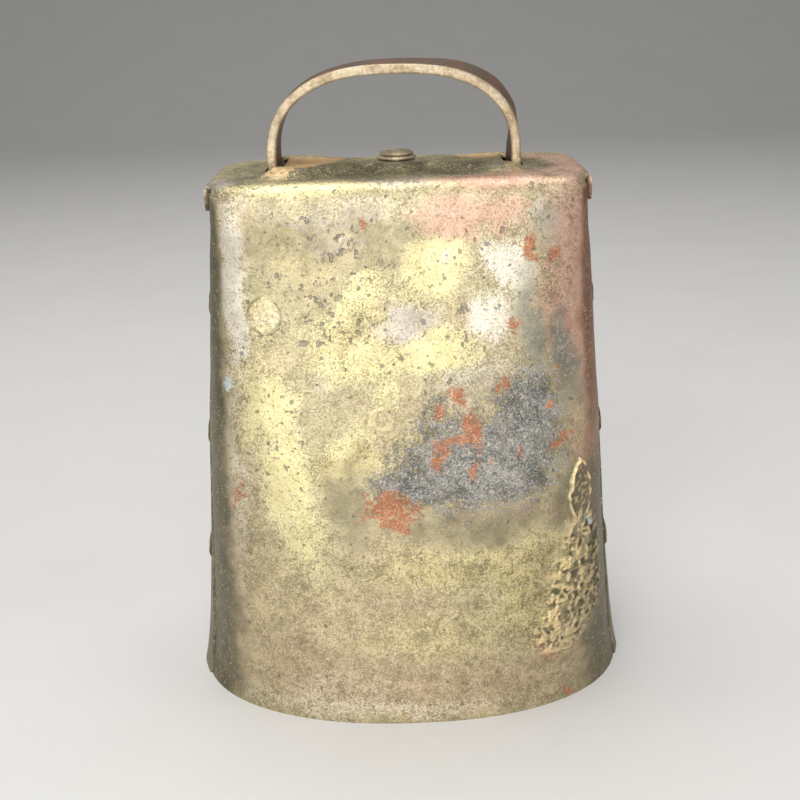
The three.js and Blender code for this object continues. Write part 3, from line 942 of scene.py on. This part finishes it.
# Patches on the front of the body: middle (x, z), half width, half height, strength and, where
# they are tilted, the angle in degrees.
PATCHES = {
    "tan": [
        (20, 48, 17, 2.6, 0.9), (-36, 26, 12, 28, 0.5), (41, 20, 8, 24, 0.6), (-2, 8, 40, 9, 0.9),
        (-10, 24, 24, 10, 0.6), (-18, 18, 18, 12, 0.5),
    ],
    "grit": [
        (15, 36, 28, 6.5, 0.8), (28, 30, 11, 13, 1), (31.5, 26, 4, 6, 1),
        (-21, 105, 6.5, 8.5, 0.55), (-12, 61, 10, 5.5, 0.8, 30), (-8, 86, 11, 10, 0.8),
        (-24, 30, 18, 10, 0.3), (6, 21, 24, 7, 0.5), (-30, 84, 6, 20, 0.4),
    ],
    # Olive patina, and painted shade: the two patches at the top left, (-22, 99) and (-16, 106),
    # darken the top of the face.
    "olive": [
        (36, 51, 5, 9, 0.5), (38, 30, 7, 15, 0.4), (-12, 52, 5, 12, 0.45), (12, 46, 20, 4, 0.45),
        (-22, 99, 8, 7, 0.3), (-16, 106, 22, 7, 0.42),
    ],
    "yellow": [
        (8, 101.5, 6.6, 7.2, 1), (7, 84, 9, 6, 1), (-6, 82, 7.5, 5.5, 0.75, 10),
        (-15, 80, 7, 4, 0.55), (-9, 95, 11, 3.6, 0.65, 35), (-28.3, 72, 5.6, 9, 0.95),
        (-25.3, 57, 5.8, 12, 0.95), (-22, 43.5, 6, 8.5, 0.75), (-12.5, 65, 9, 3, 0.55, 35),
        (2.5, 94, 6, 3.5, 0.5), (-4, 74, 4, 3, 0.6),
    ],
    # Bare metal patches and scratches, and painted highlights: the bands down the front-left corner at
    # (-33.5, 98) and (-36.5, 55) and along the foot of the shoulder at (-8, 112.2).
    "silver_and_highlight": [
        (-33.5, 98, 3, 18, 0.95), (-36.5, 55, 2.6, 26, 0.45), (-8, 112.2, 34, 1.7, 0.35),
        (-27.3, 91.6, 3.2, 3.2, 0.35), (31.5, 108, 6, 4, 0.8), (21, 100, 4.6, 5.6, 0.95),
        (18, 90, 4.6, 4.6, 0.85), (9.5, 102, 1.6, 2.6, 0.7), (-0.5, 90, 7, 2.8, 0.65, 12),
        (27, 111, 6, 0.9, 0.7, 42), (14.5, 79, 8, 3, 0.4, 20), (-16, 7, 14, 5, 0.25),
        (-8, 3, 34, 2.6, 0.4),
    ],
    "lilac": [
        (-13, 106.5, 8, 2.4, 0.5), (-14, 110.5, 16, 1.5, 0.5), (0, 90, 8, 3.4, 0.7, 10),
        (-18, 77, 5, 3, 0.3), (24, 95, 4, 8, 0.5), (13, 75, 8, 4, 0.5, 14),
    ],
    "copper": [
        (14, 110.5, 13, 4.6, 0.75), (40, 94, 12, 31, 1, 4), (42.5, 60, 6.5, 13, 0.9),
        (2.5, 111, 3.4, 1.6, 0.5),
    ],
    "teal": [
        (26, 87.5, 3.7, 12, 0.75, 8), (33, 82.5, 2.8, 9, 0.85), (29, 108, 4.5, 5, 0.4),
        (34, 74, 3, 7, 0.6),
    ],
    "steel": [
        (16, 58.8, 18.5, 11.2, 1), (26, 67.5, 8, 12.5, 0.95, 10), (2, 55, 10, 5, 0.95, 12),
        (6, 68.5, 5, 5.5, 0.65),
    ],
    "rust": [
        (12, 73.5, 2.8, 1.8, 0.8, 10), (7, 70.5, 2, 1.4, 0.7), (14.4, 66, 2, 4, 0.8),
        (11, 64.5, 5.5, 1.8, 0.7, 14), (7, 62.5, 2.6, 2.4, 0.7), (14.8, 59, 1.4, 2.6, 0.75),
        (22.7, 62, 0.9, 1.2, 0.8), (19.6, 75, 0.9, 1.4, 0.8), (30, 70, 1, 1.2, 0.8),
        (33.7, 63, 1.7, 1.2, 0.9, 30), (22, 89, 2.1, 1.9, 0.8), (25, 104, 1.3, 1.7, 0.9),
        (30, 103, 1.3, 1.5, 0.9), (30.6, 80, 0.9, 1.4, 0.9), (-4.6, 50.5, 6, 3.4, 0.8, -6),
        (-2.8, 47.5, 4, 3, 0.8), (-7, 109.5, 1.1, 1.3, 0.8), (-36.8, 53.5, 1.4, 3.4, 0.5),
        (35, 1.8, 1.4, 1.1, 0.8), (29.6, 15, 3.2, 3.5, 0.4),
    ],
    # Painted reflections: two small pale blue-white spots in dents that stand for a lamp's glints.
    "glint": [(-37.2, 76, 1.1, 1.6, 0.9), (39.6, 43, 0.9, 1.8, 0.9)],
    "pitted": [
        (-14, 94, 14, 15, 1, 20), (8, 87, 10, 9, 0.8), (10, 101, 7, 7, 0.5),
        (-25, 66, 7, 14, 0.7), (18, 97, 7, 8, 0.5),
    ],
}

# The same on the crown, seen from above: middle (x, y), half width, half depth, strength, angle.
CROWN_PATCHES = {
    "grit": [(0, 0, 60, 40, 0.6)],
    "soot": [
        (-10.5, -9.5, 12.5, 5.2, 1, 14), (10, -9, 11.5, 4.6, 1, -14), (-1, -14, 17, 4, 0.6),
        (-30, -8, 6, 12, 0.6), (29, -1, 4.5, 9, 0.9), (-30, 6, 6, 10, 0.6),
    ],
    "amber": [(-18.5, -2.5, 5.5, 9, 1), (-22.5, -10, 5, 3, 0.8), (18, 4, 7, 6, 0.7)],
    "copper": [(34, -4, 8, 20, 0.85), (19, -17, 14, 5, 0.8)],
    "lilac": [(-36.5, -14, 4, 4.5, 0.8), (2, -17, 12, 3, 0.6)],
    "steel": [(18.5, -9.5, 4.5, 3, 0.6, -20)],
    "silver_and_highlight": [(0, -1.5, 7.5, 5.5, 0.6)],
    "yellow": [(-20, -19.5, 14, 3.5, 0.7)],
}


def oval(u, v, middle_u, middle_v, half_u, half_v, strength, tilt=0):
    """A soft oval on a plane, as strong in its middle as strength says."""
    turn = math.radians(tilt)
    du, dv = u - middle_u, v - middle_v
    along = (du * math.cos(turn) + dv * math.sin(turn)) / half_u
    across = (dv * math.cos(turn) - du * math.sin(turn)) / half_v
    return strength * (1 - smooth(np.hypot(along, across), 0.35, 1.5))


def patch_mask(u, v, shapes):
    """The strongest of several ovals at each point of a plane."""
    return np.max([np.zeros(len(u))] + [oval(u, v, *shape) for shape in shapes], axis=0)


def all_round(points, name):
    """The same colours on the faces that no view of the front shows, from noise alone."""
    offset = 12.7 * list(ALL_ROUND_LEVELS).index(name)
    coarse = wander(points, 30, offset) + 0.45 * wander(points, 11, offset + 5)
    low = ALL_ROUND_LEVELS[name]
    return 0.8 * smooth(coarse, low, low + 0.6)


def paint(piece):
    """Writes the masks of the body's material to a piece, point by point: patina, and painted
    highlights, reflections and side shade.
    """
    points = coordinates(piece)
    warp = sum(
        np.column_stack([wander(points, size, 0), wander(points, size, 40)]) * reach
        for size, reach in ((9, 2.6), (3.6, 1.8), (1.6, 1.0))
    )
    u = points[:, 0] + warp[:, 0]
    w = points[:, 2] + warp[:, 1]
    v = points[:, 1] + warp[:, 1] * 0.6
    sideways = np.abs(outward(points)[:, 0])
    front = smooth(points[:, 1], 2, -8)
    crown = smooth(points[:, 2] + 0.2 * warp[:, 1], HEIGHT - 3.4, HEIGHT - 1.6)
    # The sides, where the body turns away from the front, are darkened in olive and, towards the
    # right, umber: partly patina, partly painted shade.
    edge = smooth(sideways + 0.03 * warp[:, 0], 0.5, 0.84)
    burnt = smooth(points[:, 0], 20, 30) * smooth(w + 12 * wander(points, 20, 80), 42, 74)
    side_shade_and_patina = {"olive": edge * (1 - burnt), "umber": edge * burnt}
    for name in [*FINISHES, "pitted"]:
        ahead = patch_mask(u, w, PATCHES.get(name, []))
        value = ahead * front + all_round(points, name) * (1 - front)
        value = np.maximum(value, side_shade_and_patina.get(name, 0))
        above = patch_mask(u, v, CROWN_PATCHES.get(name, []))
        add_attribute(piece, name, value * (1 - crown) + above * crown)
    for name in ("inner", "gold", "pit"):
        if piece.data.attributes.get(name) is None:
            add_attribute(piece, name, np.zeros(len(points)))


# ---- materials ----
def linear(colour):
    """A display colour of 0 to 255 as a shader's linear one, with its alpha."""
    shares = [c / 255 for c in colour]
    return (*(c / 12.92 if c < 0.0404 else ((c + 0.055) / 1.055) ** 2.4 for c in shares), 1)


class Shader:
    """A node material, with one short method for each kind of node that it uses."""

    def __init__(self, name):
        self.material = bpy.data.materials.new(name)
        self.material.use_nodes = True
        self.tree = self.material.node_tree
        self.surface = self.tree.nodes["Principled BSDF"]
        self.place = self.tree.nodes.new("ShaderNodeTexCoord").outputs["Object"]

    def link(self, value, socket):
        if isinstance(value, bpy.types.NodeSocket):
            self.tree.links.new(value, socket)
        elif isinstance(value, tuple):
            socket.default_value = linear(value)
        else:
            socket.default_value = value

    def fill(self, node, inputs):
        """Sets or links a node's inputs, by their names."""
        for name, value in inputs.items():
            self.link(value, node.inputs[name])
        return node

    def material_of(self, colour, metallic, roughness, normal):
        """The finished material, from its colour and its other properties."""
        inputs = {"Base Color": colour, "Metallic": metallic, "Roughness": roughness}
        self.fill(self.surface, {**inputs, "Normal": normal})
        return self.material

    def attribute(self, name):
        node = self.tree.nodes.new("ShaderNodeAttribute")
        node.attribute_name = name
        return node.outputs["Fac"]

    def math(self, operation, a, b=0.0, clamp=False):
        node = self.tree.nodes.new("ShaderNodeMath")
        node.operation = operation
        node.use_clamp = clamp
        return self.fill(node, {0: a, 1: b}).outputs[0]

    def noise(self, size, detail=4.0, roughness=0.6, distortion=0.0):
        """Noise around 0.5 whose features are about size millimetres across."""
        node = self.tree.nodes.new("ShaderNodeTexNoise")
        inputs = {"Vector": self.place, "Scale": 1 / (size * MM), "Detail": detail}
        inputs |= {"Roughness": roughness, "Distortion": distortion}
        return self.fill(node, inputs).outputs["Fac"]

    def step(self, value, low, high, out_low=0.0, out_high=1.0):
        """An even rise from out_low to out_high as value goes from low to high."""
        node = self.tree.nodes.new("ShaderNodeMapRange")
        node.interpolation_type = "SMOOTHSTEP"
        inputs = {"Value": value, "From Min": low, "From Max": high}
        inputs |= {"To Min": out_low, "To Max": out_high}
        return self.fill(node, inputs).outputs["Result"]

    def mix(self, share, a, b, blend="MIX"):
        node = self.tree.nodes.new("ShaderNodeMix")
        node.data_type = "RGBA"
        node.blend_type = blend
        return self.fill(node, {"Factor": share, "A": a, "B": b}).outputs["Result"]

    def mixed(self, a, b, share):
        """The weighted mean of two numbers, share being the second one's weight."""
        part = self.math("MULTIPLY", self.math("SUBTRACT", b, a), share)
        return self.math("ADD", a, part)

    def grey(self, value):
        """A number as a grey colour."""
        node = self.tree.nodes.new("ShaderNodeCombineColor")
        return self.fill(node, {"Red": value, "Green": value, "Blue": value}).outputs["Color"]

    def bump(self, height, depth, under=None):
        """Bumps depth millimetres high where height goes from 0 to 1, on those of under."""
        node = self.tree.nodes.new("ShaderNodeBump")
        self.fill(node, {"Distance": depth * MM, "Height": height})
        if under is not None:
            self.link(under, node.inputs["Normal"])
        return node.outputs["Normal"]

    def dissolved(self, mask, grain, softness):
        """A soft mask broken into grains, of which more are covered where it is stronger."""
        shifted = self.math("ADD", mask, self.math("SUBTRACT", grain, 0.5))
        return self.step(shifted, 0.5 - softness, 0.5 + softness)


# Colours are display values, 0 to 255. Each finish of the body has one for its dark and one for
# its bright grains; they are in painting order.
FINISHES = {
    "tan": ((144, 128, 100), (216, 194, 158)),
    "grit": ((114, 104, 74), (242, 226, 166)),
    "yellow": ((202, 190, 138), (246, 236, 180)),
    "silver_and_highlight": ((202, 192, 170), (250, 243, 226)),
    "lilac": ((172, 162, 148), (214, 203, 190)),
    "copper": ((176, 136, 114), (234, 194, 170)),
    "teal": ((118, 119, 108), (172, 166, 150)),
    "olive": ((84, 78, 60), (134, 126, 98)),
    "steel": ((82, 82, 80), (182, 179, 170)),
    "rust": ((140, 92, 68), (206, 138, 98)),
    "umber": ((112, 80, 60), (172, 128, 100)),
    "amber": ((214, 170, 116), (252, 214, 158)),
    "soot": ((54, 49, 38), (146, 136, 100)),
    # The colour of the painted reflections.
    "glint": ((176, 188, 190), (226, 234, 236)),
}
BASE_GRAINS = ((140, 131, 100), (214, 203, 162))
# The noise above which a finish shows on the unseen sides: the higher, the less of it.
ALL_ROUND_LEVELS = {
    "tan": 0.0, "grit": 0.05, "olive": 0.25, "yellow": 0.1, "silver_and_highlight": 0.35, "lilac": 0.25,
    "copper": 0.2, "teal": 0.3, "steel": 0.3, "rust": 0.42, "umber": 0.45, "amber": 0.5,
    "soot": 0.5, "glint": 9.0, "pitted": 0.1,
}
# These lie in flakes with a hard border; the others fade out grain by grain.
BROKEN = ("rust", "steel", "soot")
PIT_GREY = (112, 106, 102)
GOLD = (248, 222, 168)
CRUST_DARK = (84, 78, 64)
INNER_BROWN = (92, 66, 48)
INNER_DARK = (58, 52, 46)


def patina_material():
    """Steel sheet with a brass wash, worn through, pitted, stained and grained all over, with painted
    highlights, painted reflections and painted shade on its sides.
    """
    s = Shader("brass_washed_sheet")
    fine = s.noise(0.4, detail=2.5, roughness=0.65)
    grain = s.noise(1.2, detail=5, roughness=0.75)
    blot = s.noise(5, detail=6, roughness=0.65, distortion=0.4)
    broad = s.noise(20, detail=4)
    coarse_grains = s.step(grain, 0.3, 0.7)
    grains = s.mixed(coarse_grains, s.step(fine, 0.3, 0.7), 0.5)

    masks = {}
    dark, bright = BASE_GRAINS
    shade_of_base = s.step(broad, 0.35, 0.65, 0, 0.5)
    dark = s.mix(shade_of_base, dark, FINISHES["tan"][0])
    bright = s.mix(shade_of_base, bright, FINISHES["tan"][1])
    for name, (dark_grain, bright_grain) in FINISHES.items():
        pattern, softness = (coarse_grains, 0.22) if name in BROKEN else (grains, 0.38)
        masks[name] = s.dissolved(s.attribute(name), pattern, softness)
        dark = s.mix(masks[name], dark, dark_grain)
        bright = s.mix(masks[name], bright, bright_grain)
    speckle = s.step(s.mixed(s.mixed(fine, grain, 0.45), blot, 0.3), 0.38, 0.62)
    colour = s.mix(speckle, dark, bright)

    # Small ragged pits, which crowd together in places.
    crowded = s.math("MULTIPLY", s.attribute("pitted"), 0.085)
    pits = s.step(s.math("ADD", s.noise(1.6, detail=1.0), crowded), 0.7, 0.77)
    colour = s.mix(s.math("MULTIPLY", pits, 0.65), colour, PIT_GREY)

    # Spelter: gold on the ridges, partly brass and partly a painted highlight, and dark in the
    # hollows.
    colour = s.mix(s.attribute("pit"), colour, CRUST_DARK)
    colour = s.mix(s.attribute("gold"), colour, GOLD)
    inner = s.attribute("inner")
    colour = s.mix(inner, colour, s.mix(s.step(blot, 0.4, 0.6), INNER_BROWN, INNER_DARK))

    dull = s.math("MAXIMUM", s.math("MULTIPLY", masks["rust"], 0.7), masks["soot"])
    dull = s.math("MAXIMUM", dull, masks["amber"])
    dull = s.math("MAXIMUM", dull, inner)
    metal = s.math("SUBTRACT", 0.75, s.math("MULTIPLY", dull, 0.5), clamp=True)
    rough = s.math("ADD", s.step(grain, 0.3, 0.7, 0.38, 0.52), s.math("MULTIPLY", dull, 0.22))
    relief = s.bump(fine, 0.05)
    relief = s.bump(grain, 0.08, relief)
    relief = s.bump(s.math("SUBTRACT", 1.0, pits), 0.1, relief)
    relief = s.bump(s.math("MULTIPLY", masks["steel"], fine), 0.1, relief)
    return s.material_of(colour, metal, rough, relief)


def worn_metal(name, base, dark, bright, metallic=0.6, roughness=0.45, grain_size=1.4, faces=None):
    """Old metal: dirt in its hollows, bright wear on its ridges, fine pitting.

    faces gives the colours, in place of the first two, where its "worn" attribute is 0.
    """
    s = Shader(name)
    fine = s.noise(0.5, detail=3)
    grain = s.noise(grain_size, detail=5, roughness=0.7)
    blot = s.noise(6, detail=5, distortion=0.5)
    shares = s.step(blot, 0.42, 0.62)
    colour = s.mix(shares, base, dark)
    colour = s.mix(s.step(grain, 0.56, 0.72, 0, 0.7), colour, bright)
    if faces is not None:
        colour = s.mix(s.attribute("worn"), s.mix(shares, *faces), colour)
    colour = s.mix(1.0, colour, s.grey(s.step(fine, 0.3, 0.7, 0.75, 1.15)), "MULTIPLY")
    rough = s.step(grain, 0.3, 0.7, roughness, roughness + 0.18)
    return s.material_of(colour, metallic, rough, s.bump(grain, 0.12, s.bump(fine, 0.05)))


def use_material(piece, material):
    piece.data.materials.clear()
    piece.data.materials.append(material)


# ---- assembly ----
def stand_for(piece, node, body, material):
    """A piece that replaces a CAD node, rides on its body and takes its finish."""
    use_material(piece, material)
    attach(piece, body)
    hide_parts(node)


def build_bell():
    patina = patina_material()
    strap_metal = worn_metal(
        "brown_strap_steel", (206, 188, 158), (178, 156, 124), (232, 216, 186),
        faces=((112, 96, 80), (136, 98, 80)),
    )
    rivet_metal = worn_metal("hammered_rivet", (224, 210, 176), (182, 168, 136), (244, 236, 208))
    stained_metal = worn_metal("stained_rivet", (146, 134, 108), (104, 92, 74), (184, 172, 144))
    dark_iron = worn_metal(
        "rusted_iron", (98, 76, 62), (58, 48, 42), (140, 116, 96), metallic=0.55, roughness=0.55
    )

    shell, skin = build_shell()
    paint(shell)
    stand_for(shell, "bell_shell", "bell", patina)
    for lump in build_spelter(skin):
        paint(lump)
        use_material(lump, patina)
        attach(lump, "bell")
    stand_for(build_bail(), "handle_strap", "bell", strap_metal)
    stand_for(build_crown_rivet(), "crown_rivet", "bell", rivet_metal)
    stand_for(build_washer(), "crown_washer", "bell", rivet_metal)
    for node in sorted(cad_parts):
        if node.startswith("side_rivet"):
            rivet = build_side_rivet(node, skin)
            stand_for(rivet, node, "bell", stained_metal)
    stand_for(build_link(), "clapper_link", "link", dark_iron)
    stand_for(build_rod(), "clapper_rod", "clapper", dark_iron)
    stand_for(build_ball(), "clapper_ball", "clapper", dark_iron)


# ---- camera, light and floor ----
def build_camera():
    """A hand-held close view from the front, a little above the bail, looking down."""
    camera = bpy.data.cameras.new("camera")
    camera.sensor_width = 36
    camera.lens = 49.5
    holder = bpy.data.objects.new("camera", camera)
    pitch = Matrix.Rotation(math.radians(90 - 20.1), 4, "X")
    roll = Matrix.Rotation(math.radians(-1.78), 4, "Z")
    holder.matrix_world = Matrix.Translation((-0.0009, -0.2366, 0.1512)) @ pitch @ roll
    bpy.context.scene.collection.objects.link(holder)
    bpy.context.scene.camera = holder


def area_light(name, place, target, size, power):
    light = bpy.data.lights.new(name, "AREA")
    light.shape = "RECTANGLE"
    light.size, light.size_y = size
    light.energy = power
    holder = bpy.data.objects.new(name, light)
    holder.location = place
    holder.rotation_euler = (Vector(target) - Vector(place)).to_track_quat("-Z", "Y").to_euler()
    bpy.context.scene.collection.objects.link(holder)


def build_studio():
    wide, far, bend_radius, top = 4000, 1000, 800, 3000
    profile = [(-wide, 0)]
    profile += [(y, z) for y, z in bend(far, bend_radius, bend_radius, 270, 360, 24)]
    profile.append((far + bend_radius, top))
    points = [(x, y, z) for y, z in profile for x in (-wide, wide)]
    floor = new_mesh("floor", points, grid_faces(len(profile), 2))
    shade(floor)
    paper = Shader("pale_paper")
    tone = paper.mix(paper.noise(40), (214, 212, 208), (222, 220, 216))
    paper.fill(paper.surface, {"Base Color": tone, "Roughness": 0.9})
    use_material(floor, paper.material)

    middle = (0, 0, 0.07)
    area_light("key", (-0.14, -0.8, 0.14), middle, (0.5, 0.4), 3.1)
    area_light("high", (-0.1, -0.6, 0.56), (0, 0, 0.1), (0.6, 0.3), 2.4)
    area_light("left", (-0.6, -0.5, 0.2), middle, (0.3, 0.5), 0.4)
    area_light("fill", (0.7, -0.35, 0.5), middle, (0.5, 0.5), 0.8)
    area_light("top", (-0.1, 0.1, 0.9), middle, (0.7, 0.6), 5.5)

    world = bpy.data.worlds.new("studio")
    world.use_nodes = True
    background = world.node_tree.nodes["Background"]
    background.inputs["Color"].default_value = (0.8, 0.82, 0.85, 1)
    background.inputs["Strength"].default_value = 0.25
    bpy.context.scene.world = world
    bpy.context.scene.view_settings.view_transform = "Standard"


build_camera()
build_studio()
build_bell()
